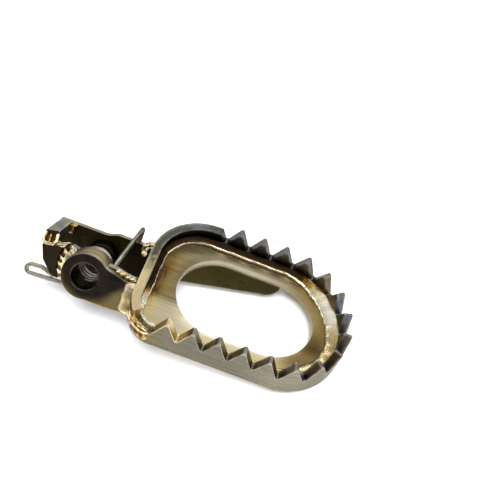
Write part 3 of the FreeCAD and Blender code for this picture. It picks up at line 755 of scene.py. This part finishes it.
def band_material():
    """Nearly bare outside, darker towards the mount as painted shade, scaled brown inside beside the
    bead, bronze on the cut teeth, with the near row lighter and the far row darker as painted light
    and shade, and blued round the outer end."""
    g = Surface("band_titanium")
    brush, wear = g.attribute("brush"), g.attribute("wear")
    height, side = g.axis(brush, "Y"), g.axis(brush, "Z")
    rim, tip_top, below = (g.axis(wear, name) for name in "XYZ")
    x, y = g.axis(g.position, "X"), g.axis(g.position, "Y")
    lines = g.noise(1.0, 4.0, (0.07, 2.4, 2.4), source=brush, rough=0.7)
    fine = g.noise(1.0, 2.0, (0.5, 18.0, 18.0), source=brush)
    grain = g.noise(1.6, 3.0, (0.5, 1.0, 1.0), source=brush)
    clouds = g.noise(0.13, 4.0)
    blotch = g.noise(0.42, 4.0, distortion=0.6)
    patch = g.remap(blotch, 0.5, 0.68)
    inner = g.remap(side, -0.6, -1.7)
    cut_face = g.times(g.remap(below, 0.5, 0.1), g.remap(g.math("ABSOLUTE", side), 1.85, 1.5))
    top_strip = g.times(g.invert(g.remap(x, 43.5, 45.0)), g.remap(below, 0.6, 0.2))
    outer_end = g.remap(x, 78.0, 100.0)

    # Outer face: a little straw low down and at the corner, and darker towards the mount as painted shade.
    heat = g.total(g.times(clouds, 0.2), g.times(g.near((26, -25, 11), 4.0, 13.0), 0.3),
                   g.remap(height, 6.0, 2.0, 0.0, 0.05))
    bare = g.ramp(g.math("SUBTRACT", heat, 0.04, clamp=True), OXIDE)
    bare = g.stain(1.0, bare, g.mix(g.remap(grain, 0.35, 0.65), (0.6, 0.61, 0.6), (0.76, 0.76, 0.73)))
    bare = g.mix(g.remap(x, 88.0, 60.0, 0.0, 0.38), bare, (0.03, 0.025, 0.012))

    # Flanks and tips of the teeth, with blue patches round the outer end.
    heat = g.total(g.times(patch, 0.3), g.times(outer_end, 0.3), g.times(clouds, 0.3))
    tinted = g.mix(0.35, g.ramp(g.math("ADD", heat, 0.12, clamp=True), OXIDE), BRONZE)
    tinted = g.stain(1.0, tinted, (0.62, 0.66, 0.74))
    # The near row's cut faces get a lighter tint and the far row's a darker one: painted light and painted
    # shade.
    front = g.mix(patch, (0.2, 0.17, 0.11), (0.25, 0.22, 0.15))
    rear = g.mix(patch, (0.085, 0.082, 0.078), (0.125, 0.125, 0.125))
    cut = g.mix(g.times(outer_end, 0.85), g.mix(g.remap(y, 2.0, 18.0), front, rear), tinted)
    blued = g.times(g.near((104, 6, 14), 5.0, 17.0), g.remap(clouds, 0.4, 0.55, 0.3, 0.9))
    cut = g.mix(blued, cut, g.mix(patch, (0.125, 0.145, 0.17), (0.045, 0.055, 0.135)))
    spots = g.math("MAXIMUM", g.near((84.5, -26.5, 11.5), 1.2, 3.0), g.near((92.0, -24.0, 10.5), 1.2, 2.6))
    cut = g.mix(g.times(spots, 0.9), cut, DEEP_BLUE)

    # Inner face: scale low down, bronze grey on the teeth.
    scale = g.mix(g.times(g.remap(x, 76.0, 90.0), 0.8), SOOT, WARM_SCALE)
    grey = g.mix(patch, (0.085, 0.07, 0.042), (0.125, 0.11, 0.078))
    grey = g.mix(g.remap(x, 52.0, 86.0), (0.03, 0.028, 0.026), grey)
    inside = g.mix(g.remap(height, 10.4, 13.0), scale, g.mix(g.times(outer_end, 0.6), grey, tinted))

    # Top of the smooth strip, and of its low cut corner.
    run = g.total(g.remap(y, -20.0, 30.0, 0.0, 0.62, smooth=False), g.remap(x, 28.0, 44.0, 0.0, 0.16),
                  g.sway(blotch, 0.3))
    low_corner = g.times(g.remap(height, 9.2, 8.6), g.remap(y, -20.0, -22.0))
    strip = g.mix(low_corner, g.ramp(run, STRIP_TOP), g.mix(patch, (0.12, 0.1, 0.055), (0.2, 0.17, 0.1)))

    tint = g.mix(inner, bare, inside)
    tint = g.mix(cut_face, tint, cut)
    tint = g.mix(top_strip, tint, strip)
    tint = g.stain(g.remap(lines, 0.44, 0.66, 0.0, 0.8), tint, (0.62, 0.62, 0.62))
    # Pale worn tint along the top rim; it fades on the far row as painted shade.
    worn = g.times(rim, g.remap(blotch, 0.35, 0.6, 0.1, 0.42), g.remap(y, 8.0, 24.0, 1.0, 0.4))
    tint = g.mix(worn, tint, WORN)
    tint = g.mix(g.times(tip_top, 0.18), tint, WORN)
    g.bumps((lines, 0.03), (fine, 0.01), (blotch, 0.02))
    g.edge_tint(0.55)
    return g.finish(tint, g.total(g.rough(lines, 0.24, 0.4), g.times(inner, -0.04), g.sway(blotch, 0.12)))


def plate_material():
    """Brushed plate: straw, warmer towards the bead, burnt at the mount end, brown at the tip, and brighter
    towards the front as painted light.
    """
    g = Surface("plate_titanium")
    x, y = g.axis(g.position, "X"), g.axis(g.position, "Y")
    lines = g.noise(1.0, 4.0, (0.045, 1.7, 1.7), rough=0.7)
    fine = g.noise(1.0, 2.0, (0.3, 14.0, 14.0))
    clouds = g.noise(0.09, 3.0)
    fringe = g.noise(1.0, 2.0, (0.9, 0.22, 0.9))
    to_bead = g.total(g.remap(x, 32.5, 28.0), g.remap(y, 20.5, 23.5), g.remap(y, -19.0, -22.0))
    burnt = g.times(g.remap(x, 29.6, 26.6), g.near((27, -6, 8), 6.0, 16.0),
                    g.remap(fringe, 0.35, 0.6, 0.35, 1.0))
    heat = g.total(g.times(clouds, 0.26), g.times(g.math("MINIMUM", to_bead, 1.0), 0.12),
                   g.times(burnt, 0.17), g.remap(x, 70.0, 88.0, 0.0, 0.2),
                   g.remap(y, -22.0, 4.0, 0.0, 0.1),
                   g.times(g.remap(y, -13.0, -7.0), g.remap(x, 40.0, 31.0, 0.0, 0.12)))
    # Painted light: the tint is scaled brighter towards the front and the outer end, darker towards the rear
    # and the mount end.
    shade = g.times(g.remap(y, -13.0, -8.0, 1.65, 0.74), g.remap(x, 32.0, 48.0, 0.98, 1.35))
    tint = g.vector("SCALE", g.ramp(heat, OXIDE), scale=shade)
    streak = g.times(g.remap(lines, 0.42, 0.62), g.remap(y, -16.0, -8.0, 0.35, 0.85),
                     g.remap(x, 72.0, 88.0, 1.0, 0.4))
    tint = g.stain(streak, tint, (0.62, 0.58, 0.51))
    tint = g.stain(g.times(g.near((90, -13, 8), 5.0, 17.0), 0.9), tint, (0.24, 0.21, 0.16))
    # The opening's wall, khaki and darker towards the tip as painted shade, and a scribed line beside the
    # rear bead.
    wall = g.remap(g.math("ABSOLUTE", g.axis(g.normal, "Z")), 0.7, 0.4)
    wall_khaki_and_shade = g.mix(g.remap(x, 62.0, 84.0), KHAKI, (0.16, 0.125, 0.07))
    tint = g.mix(g.times(wall, 0.85), tint, wall_khaki_and_shade)
    from_line = g.math("ABSOLUTE", g.math("SUBTRACT", y, 20.7))
    scribed = g.times(g.remap(from_line, 0.16, 0.05), g.remap(x, 46.0, 54.0), g.remap(x, 78.0, 74.0))
    tint = g.mix(g.times(scribed, 0.75), tint, SCRIBED)
    tint = g.wear_edges(tint, 0.35, 0.35, WORN)
    g.bumps((lines, 0.03), (fine, 0.01))
    return g.finish(tint, g.rough(lines, 0.26, 0.44))


def arm_material():
    """Arms, cheek and stop bar: a burnt eye, an olive-black inside that is dark bronze deepened by
    painted shade, pale cut edges, and a blue-grey top on the stop."""
    g = Surface("arm_titanium")
    x = g.axis(g.position, "X")
    along = g.along_bore()
    rise = g.vector("DOT_PRODUCT", g.position, UP_ARM)
    facing = g.math("ABSOLUTE", g.vector("DOT_PRODUCT", g.normal, tuple(ALONG_BORE)))
    lines = g.noise(0.8, 3.0, (0.3, 2.6, 2.6))
    clouds = g.noise(0.14, 4.0, distortion=0.5)
    specks = g.noise(2.2, 3.0)
    mottle = g.remap(clouds, 0.4, 0.62)

    # Flat faces.
    under = g.remap(x, 21.0, 27.0)
    heat = g.total(g.times(clouds, 0.36), g.remap(x, 19.0, 8.0, 0.12, 0.24), g.times(under, 0.06))
    eye = g.total(g.near(mount(1.5, 3.0, EYE_FACE), 9.5, 14.5), g.near(mount(12.5, 5.0, EYE_FACE), 3.0, 8.0))
    eye = g.times(g.math("MINIMUM", eye, 1.0), g.remap(along, 16.2, 16.8))
    eye_tint = g.mix(g.remap(clouds, 0.45, 0.65), (0.052, 0.041, 0.027), (0.03, 0.027, 0.035))
    face = g.mix(eye, g.ramp(heat, OXIDE), eye_tint)
    # Inner faces: dark olive bronze darkened as painted shade, and near black as painted shade towards the
    # plate.
    inner = g.times(g.remap(along, 15.0, 13.0), g.remap(along, -16.8, -16.2))
    olive = g.mix(mottle, (0.04, 0.03, 0.013), (0.07, 0.056, 0.026))
    olive = g.mix(g.times(inner, g.remap(x, 4.0, 12.0), 0.95), olive, UNLIT)
    cheek = g.times(g.remap(along, 4.4, 5.0), g.remap(x, -8.0, -10.0))
    olive = g.mix(g.times(cheek, 0.85), olive, (0.044, 0.035, 0.028))
    face = g.mix(g.times(inner, 0.94), face, olive)
    face = g.mix(g.times(under, 0.75), face, OLIVE_GOLD)

    # Cut edges.
    stop_heat = g.total(g.times(g.remap(clouds, 0.35, 0.65), 0.3), g.remap(along, -13.0, 5.0, -0.12, 0.1))
    edge = g.mix(mottle, (0.4, 0.36, 0.27), (0.29, 0.265, 0.205))
    edge = g.mix(g.remap(x, -12.5, -16.0), edge, g.ramp(stop_heat, STOP_TOP))
    cheek_edge = g.times(g.remap(along, 4.8, 5.6), g.remap(along, 9.0, 8.6), g.remap(x, -16.0, -10.0))
    edge = g.mix(cheek_edge, edge, (0.23, 0.235, 0.33))
    edge = g.mix(g.times(g.remap(rise, -4.0, -7.5), 0.7), edge, (0.16, 0.135, 0.085))

    tint = g.mix(g.remap(facing, 0.75, 0.45), face, edge)
    tint = g.mix(g.remap(g.bore_radius(), 6.3, 5.7), tint, (0.05, 0.042, 0.032))
    tint = g.mix(g.remap(specks, 0.58, 0.78, 0.0, 0.35), tint, (0.04, 0.035, 0.03))
    tint = g.wear_edges(tint, 0.3, 0.3, WORN_ARM)
    g.bumps((lines, 0.025), (specks, 0.015))
    g.edge_tint(0.3)
    return g.finish(tint, g.rough(lines, 0.26, 0.42))


def boss_material():
    """Turned tubes: straw to bronze outside, dark in the bore, and near black at the rear as painted shade.
    """
    g = Surface("boss_titanium")
    axial, radius = g.along_bore(), g.bore_radius()
    turning = g.noise(3.5, 3.0, source=g.combine(axial))
    clouds = g.noise(0.25, 4.0)
    heat = g.math("ADD", g.times(clouds, 0.45), g.remap(g.math("ABSOLUTE", axial), 6.0, 13.0, -0.12, 0.1),
                  clamp=True)
    tint = g.mix(0.35, g.ramp(heat, OXIDE), BRONZE)
    bore_tint = g.mix(clouds, (0.02, 0.017, 0.014), (0.06, 0.055, 0.045))
    tint = g.mix(g.remap(radius, 6.2, 5.2), tint, bore_tint)
    # Painted shade: the rear boss is made near black.
    tint = g.mix(g.remap(axial, -2.0, -5.0), tint, (0.022, 0.017, 0.01))
    tint = g.wear_edges(tint, 0.3, 0.25, WORN)
    g.bumps((turning, 0.02))
    g.edge_tint(0.4)
    return g.finish(tint, g.rough(turning, 0.24, 0.38))


def weld_material(name, warm, spread=0.35, groove_shade=0.25, rim=False, rough_from=0.17):
    """Weld metal; warm moves it from silver (0) to gold (0.42), brown (0.72) and burnt (1).
    Groove is how much darker it is between the ripples, as painted shade, and a rim keeps a painted highlight
    at toe B."""
    g = Surface(name)
    marks = g.attribute("bead")
    ripple = g.axis(marks, "X")
    # Painted highlight: the rim near toe B is kept pale.
    if rim:
        ripple = g.math("ADD", ripple, g.remap(g.axis(marks, "Y"), 0.62, 0.74))
    clouds = g.noise(0.25, 3.0)
    patches = g.noise(0.8, 3.0, distortion=0.4)
    specks = g.noise(3.0, 2.0)
    # The ripple term is painted shade between the ripples.
    heat = g.total(g.sway(clouds, spread * 2), g.sway(patches, spread),
                   g.remap(ripple, 0.0, 0.55, groove_shade, 0.0))
    tint = g.ramp(g.math("ADD", heat, warm, clamp=True), WELD)
    g.bumps((specks, 0.007))
    return g.finish(tint, g.rough(specks, rough_from, rough_from + 0.11))


def platform_weld_material():
    """Silver and crumbly at the mount end; along the rear a face burnt brown and deepened by painted
    shade, with a pale painted highlight on the crest and a painted shadow line at the plate-side toe;
    gold round the outer end, with a painted highlight above and painted shade below."""
    g = Surface("platform_weld_metal")
    marks = g.attribute("bead")
    ripple, across, distance = (g.axis(marks, name) for name in "XYZ")
    x, y = g.axis(g.position, "X"), g.axis(g.position, "Y")
    streaks = g.noise(1.0, 4.0, source=g.combine(g.times(distance, 0.12), g.times(across, 9.0)))
    patches = g.noise(0.6, 3.0, distortion=0.4)
    specks = g.noise(3.0, 2.0)
    tip = g.remap(x, 72.0, 92.0)
    mount_end = g.remap(x, 36.0, 28.0)
    wall = g.times(g.remap(across, 0.3, 0.44), g.remap(y, -16.0, -4.0))
    crest = g.times(g.remap(across, 0.1, 0.17), g.remap(across, 0.34, 0.26))
    fringe = g.times(g.remap(across, 0.1, 0.04), g.invert(g.math("MAXIMUM", tip, mount_end)))
    # Painted light in the heat: the crest term is a painted highlight, the fringe is a painted shadow line at
    # the plate-side toe, the wall term adds painted shade to the burn, and the ripple term is painted shade
    # between the ripples.
    heat = g.total(g.times(wall, 0.85), g.times(crest, g.remap(tip, 0.0, 1.0, -0.34, -0.12)),
                   g.times(fringe, 0.25), g.sway(patches, 0.45), g.sway(streaks, 0.5),
                   g.times(mount_end, -0.26), g.times(tip, -0.05),
                   g.remap(ripple, 0.0, 0.5, 0.06, 0.0), g.remap(y, -6.0, -20.0, 0.0, -0.1),
                   g.times(wall, tip, -0.85))
    tint = g.ramp(g.math("ADD", heat, g.remap(tip, 0.0, 1.0, 0.44, 0.38), clamp=True), WELD)
    # Painted highlight along the crest.
    bright = g.times(crest, g.remap(y, -4.0, 8.0), g.remap(x, 98.0, 80.0), 0.85)
    tint = g.mix(bright, tint, (0.98, 0.94, 0.8))
    # Painted highlight on the upper part of the tip's bead.
    painted_tip_highlight = g.times(g.near((96, 11, 10), 3.0, 12.0), g.remap(across, 0.1, 0.3, 0.2, 0.75))
    tint = g.mix(painted_tip_highlight, tint, HIGHLIGHT_CREAM)
    # Painted shade on the tip's bead below its highlight.
    tint = g.stain(g.times(tip, g.remap(y, 3.0, -6.0, 0.0, 0.7)), tint, (0.5, 0.46, 0.34))
    g.bumps((streaks, 0.03), (specks, 0.012), (g.times(mount_end, g.noise(1.6, 3.0)), 0.25))
    g.edge_tint(0.3)
    return g.finish(tint, g.rough(specks, 0.16, 0.3))


def wire_material():
    """Drawn wire: darker on the hooked leg, with painted shade between the coil's turns and a painted
    highlight inside the coil.
    """
    g = Surface("spring_wire_steel")
    blotch = g.noise(0.5, 4.0)
    fine = g.noise(6.0, 2.0)
    radius = g.bore_radius()
    hooked_leg = g.remap(g.along_bore(), -4.5, -6.5, 0.0, 0.6)
    tint = g.mix(hooked_leg, g.ramp(blotch, DRAWN_WIRE), (0.11, 0.1, 0.075))
    # Painted shade between the coil's turns.
    tint = g.mix(g.remap(radius, 6.3, 5.9), tint, (0.04, 0.037, 0.03))
    # Painted highlight on the inside of the coil.
    tint = g.mix(g.remap(radius, 5.65, 5.35), tint, (0.5, 0.48, 0.42))
    g.bumps((fine, 0.012))
    g.edge_tint(0.16)
    return g.finish(tint, g.rough(fine, 0.26, 0.4))


# -------- assembly
def weld(material, obj):
    """Paint a bead and put it in place of the CAD node that it's named after, if there is one."""
    node = obj.name.removesuffix("_metal")
    place(obj, "peg", "weld_metal", *[node for node in [node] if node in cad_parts])
    paint(material, obj)


def build_platform(gold):
    band = place(build_band(), "peg", "band_metal", "cleat_band")
    paint(band_material(), band)
    plate = place(build_plate(), "peg", "plate_metal", "platform_plate")
    paint(plate_material(), plate)

    ring = bead("platform_weld_metal", loop_bead_path(BAND_T, PLATE_TOP), platform_legs, 1.7,
                closed=True, swell=0.66, ripple=0.045, wander=0.14, crest=0.62)
    weld(platform_weld_material(), ring)
    upper = round_bead("corner_weld_metal", corner_bead_path(12.2, 8.9, 6, 72, 1.5, 1.6), 2.8, ripple=0.05)
    weld(gold, upper)
    lower = round_bead("corner_weld_lower_metal", corner_bead_path(12.3, 5.6, 6, 66, 0.9, 2.7), 2.6,
                       ripple=0.25)
    weld(weld_material("weld_burnt", 0.62, 0.7), lower)


def build_mount():
    arms = (("front_arm", 0.5), ("front_arm_inner_plate", 0.4), ("rear_arm", 0.4), ("stop_cheek", 0.4),
            ("stop_bar", 0.4))
    paint(arm_material(), *[refined(node, softening) for node, softening in arms])
    profile = [(BOSS_IN, BORE_R), (BOSS_IN, EYE_R - 0.5), (BOSS_IN + 0.1, EYE_R - 0.15),
               (BOSS_IN + 0.45, EYE_R), (ARM_IN - 0.05, EYE_R), (ARM_IN - 0.05, BORE_R)]
    rear_profile = [(-along, max(radius - EYE_R + REAR_BOSS_R, BORE_R)) for along, radius in profile]
    front_boss = place(lathe("front_boss_metal", profile), "peg", "boss_metal", "front_pivot_boss")
    rear_boss = place(lathe("rear_boss_metal", rear_profile), "peg", "boss_metal", "rear_pivot_boss")
    paint(boss_material(), front_boss, rear_boss)


def build_front_arm_welds(pale, crumbly):
    joint = bead("front_arm_weld_metal", straight_path(
        mount(BAND_X + 0.5, -8.5, EYE_FACE - 0.4), mount(BAND_X + 0.3, 4.6, EYE_FACE - 0.4), -X, ALONG_BORE),
        (4.6, 2.6), 4.5, swell=0.9, ripple=0.06, taper=1.8, seed=5, wander=0.16)
    weld(pale, joint)
    seam = round_bead("front_seam_weld_metal", lump_path(
        [(10.2, 6.0, 13.9), (14.8, 5.0, 13.8), (19.6, 4.5, 13.6)], ALONG_BORE, 1.5, 1.0),
        2.1, ripple=0.28, seed=15)
    weld(crumbly, seam)


def build_rear_arm_welds(crumbly, brown):
    joint = bead("rear_arm_weld_metal", straight_path(
        mount(23.0, 10.6, -EYE_FACE), mount(23.0, 10.6, -ARM_IN), -X, UP_ARM), (5.5, 3.6), 1.2,
        swell=0.8, ripple=0.22, seed=6)
    weld(crumbly, joint)
    lump = round_bead("rear_arm_weld_corner_metal", lump_path(
        [(19.6, 12.6, -13.0), (16.2, 11.2, -12.4), (15.4, 8.6, -12.4),
         (16.6, 6.4, -13.0)], ALONG_BORE, 1.5, 1.6), 2.6, ripple=0.22, seed=16)
    weld(crumbly, lump)
    # Fillets under the plate, on the arm's outer and inner side.
    sides = (("under", Y, 34, 67.5, 22.9, 7), ("inside", -Y, 27.4, 41, 18.8, 8))
    for side, reach, from_x, to_x, y, seed in sides:
        path = straight_path(Vector((from_x, y, PLATE_LOW)), Vector((to_x, y, PLATE_LOW)), reach,
                             Vector((0, -0.545, -0.839)))
        fillet = bead("rear_arm_weld_%s_metal" % side, path, (2.0, 2.2), 1.4, swell=0.4, taper=2.0, seed=seed)
        weld(brown, fillet)


def build_stop_welds(gold, brown):
    ladder = bead("cheek_weld_metal", ring_path(8.5, 138, 218, EYE_R, ALONG_BORE), (4.2, 3.2), 2.3,
                  swell=0.5, ripple=0.5, taper=1.5, seed=9, bow=0.0)
    weld(weld_material("weld_ladder", 0.3, 0.24, 0.85, rim=True), ladder)
    boss_bead = bead("front_boss_weld_metal", ring_path(9.9, -42, 36, EYE_R, -ALONG_BORE), (1.7, 1.7), 1.4,
                     swell=0.4, taper=1.2, seed=10)
    weld(brown, boss_bead)
    # The bar's end: a dark brown hollow with a gold rim of weld round it, a ridge down its middle and a
    #     web out to the front tube.
    hollow = bead("stop_bar_weld_metal", straight_path(
        mount(-20.9, 4.3, 5.7), mount(-16.7, 4.9, 5.7), ALONG_BORE, UP_ARM), (2.3, 3.4), 1.3,
        swell=0.0, ripple=0.15, taper=0.4, seed=12)
    weld(brown, hollow)
    rim = round_bead("stop_rim_metal", lump_path(
        [(-21.0, 8.5, 6.0), (-21.0, 4.3, 8.0), (-15.7, 5.0, 8.3), (-16.4, 8.9, 6.0)],
        X, 0.7, 0.75, bend=1.5, taper=0.5), 3.4, ripple=0.06, seed=17)
    web = round_bead("stop_web_metal", lump_path(
        [(-17.4, 5.8, 6.2), (-15.6, 4.9, 6.6), (-13.0, 5.6, 7.2), (-10.0, 6.9, 7.3)],
        ALONG_BORE, 1.5, 1.1, bend=2.0, taper=1.5), 2.6, ripple=0.1, seed=21)
    rim_gold = weld_material("weld_rim", 0.28, 0.24, 0.1)
    weld(rim_gold, rim)
    weld(rim_gold, web)
    ridge = round_bead("stop_ridge_metal", lump_path(
        [(-18.9, 8.0, 6.2), (-18.7, 6.4, 7.1), (-18.4, 4.9, 8.1)], X, 0.34, 0.4,
        bend=1.5, taper=0.5), 1.8, seed=18)
    inside = bead("stop_end_weld_metal", straight_path(
        mount(-16.3, 4.4, -ARM_IN), mount(-16.3, 9.4, -ARM_IN), X, ALONG_BORE), (2.6, 2.6), 2.0,
        swell=0.9, taper=1.0, seed=13)
    weld(gold, ridge)
    weld(gold, inside)


def build():
    gold = weld_material("weld_gold", 0.36)
    pale = weld_material("weld_pale", 0.3, 0.2, 0.08, rough_from=0.3)
    brown = weld_material("weld_brown", 0.74, 0.3)
    crumbly = weld_material("weld_crumbly", 0.14, 0.7, 0.45)
    build_platform(gold)
    build_mount()
    build_front_arm_welds(pale, crumbly)
    build_rear_arm_welds(crumbly, brown)
    build_stop_welds(gold, brown)
    paint(wire_material(), *build_spring())


# -------- studio
LIGHT_TARGET = Vector((40, 0, 5))
FLOOR_REACH = 4000
# Brightness of the surroundings from straight below (0) to straight above (1).
SKY = [(0.0, 0.8), (0.2, 0.55), (0.5, 0.5), (0.8, 0.62), (0.92, 0.95), (1.0, 1.5)]


def add_light(name, kind, location, direction):
    data = bpy.data.lights.new(name, kind)
    lamp = bpy.data.objects.new(name, data)
    lamp.location = location * MM
    lamp.rotation_mode = "QUATERNION"
    lamp.rotation_quaternion = direction.normalized().to_track_quat("-Z", "Y")
    bpy.context.scene.collection.objects.link(lamp)
    return lamp


def area_light(name, location, size, power):
    """Rectangular light aimed at the peg; size is in metres."""
    lamp = add_light(name, "AREA", Vector(location), LIGHT_TARGET - Vector(location))
    lamp.data.shape = "RECTANGLE"
    lamp.data.size, lamp.data.size_y = size
    lamp.data.energy = power


def build_floor():
    """The peg lies on its lower eye and the band's outer end, so the floor leans in its frame."""
    low_point = mount(0, -EYE_R, -EYE_FACE)
    tip_point = Vector((TIP_X, low_point.y, BAND_LOW))
    run = (tip_point - low_point).normalized()
    middle = low_point.lerp(tip_point, 0.5)
    corners = [middle + (run * a + Y * b) * FLOOR_REACH for a, b in ((-1, -1), (1, -1), (1, 1), (-1, 1))]
    floor = new_mesh("studio_floor", corners, [(0, 1, 2, 3)])
    g = Surface("studio_paper")
    tint = g.ramp(g.noise(0.02, 3.0), [(0.3, (0.92, 0.92, 0.935)), (0.7, (0.95, 0.95, 0.965))])
    g.shader.inputs["Specular IOR Level"].default_value = 0.1
    paint(g.finish(tint, 0.9, metallic=0.0), floor)


def build_world():
    """Surroundings that brighten towards the zenith and dim towards the front."""
    world = bpy.data.worlds.new("studio")
    bpy.context.scene.world = world
    world.use_nodes = True
    g = Graph(world.node_tree)
    direction = g.node("TexCoord").outputs["Generated"]
    sky = g.ramp(g.axis(direction, "Z"), [(at, (level, level, level * 1.02)) for at, level in SKY])
    rear = g.remap(g.axis(direction, "Y"), -0.7, 0.5, 0.35, 1.0, smooth=False)
    background = g.tree.nodes["Background"]
    g.feed(background.inputs["Color"], sky)
    g.feed(background.inputs["Strength"], rear)


def build_lights():
    # The sun is broad and soft. It casts the shadows and isn't mirrored in the metal.
    sun = add_light("broad_top", "SUN", Vector((0, 0, 0)), Vector((0.06, 0.36, -0.93)))
    sun.data.energy = 3.6
    sun.data.angle = math.radians(40)
    sun.visible_glossy = False
    area_light("rear_strip", (-60, 420, 330), (0.5, 0.07), 0.45)
    area_light("front_strip", (70, -130, 400), (0.6, 0.05), 0.75)
    area_light("left_box", (-420, -60, 260), (0.22, 0.22), 0.4)
    area_light("right_box", (430, 120, 240), (0.16, 0.26), 0.4)


def build_camera():
    right = Vector((0.93436, 0.22734, 0.27439))
    down = Vector((0.35200, -0.70857, -0.61157))
    ahead = Vector((0.05539, 0.66801, -0.74209))
    turn = Matrix((right, -down, -ahead)).transposed().to_4x4()
    data = bpy.data.cameras.new("camera")
    data.lens = 51.64
    data.sensor_width = 36.0
    data.clip_start, data.clip_end = 0.01, 20.0
    camera = bpy.data.objects.new("camera", data)
    camera.matrix_world = Matrix.Translation(Vector((40.28, -174.95, 235.42)) * MM) @ turn
    bpy.context.scene.collection.objects.link(camera)
    bpy.context.scene.camera = camera


build()
build_floor()
build_world()
build_lights()
build_camera()
bpy.context.scene.view_settings.view_transform = "Standard"
bpy.context.view_layer.update()
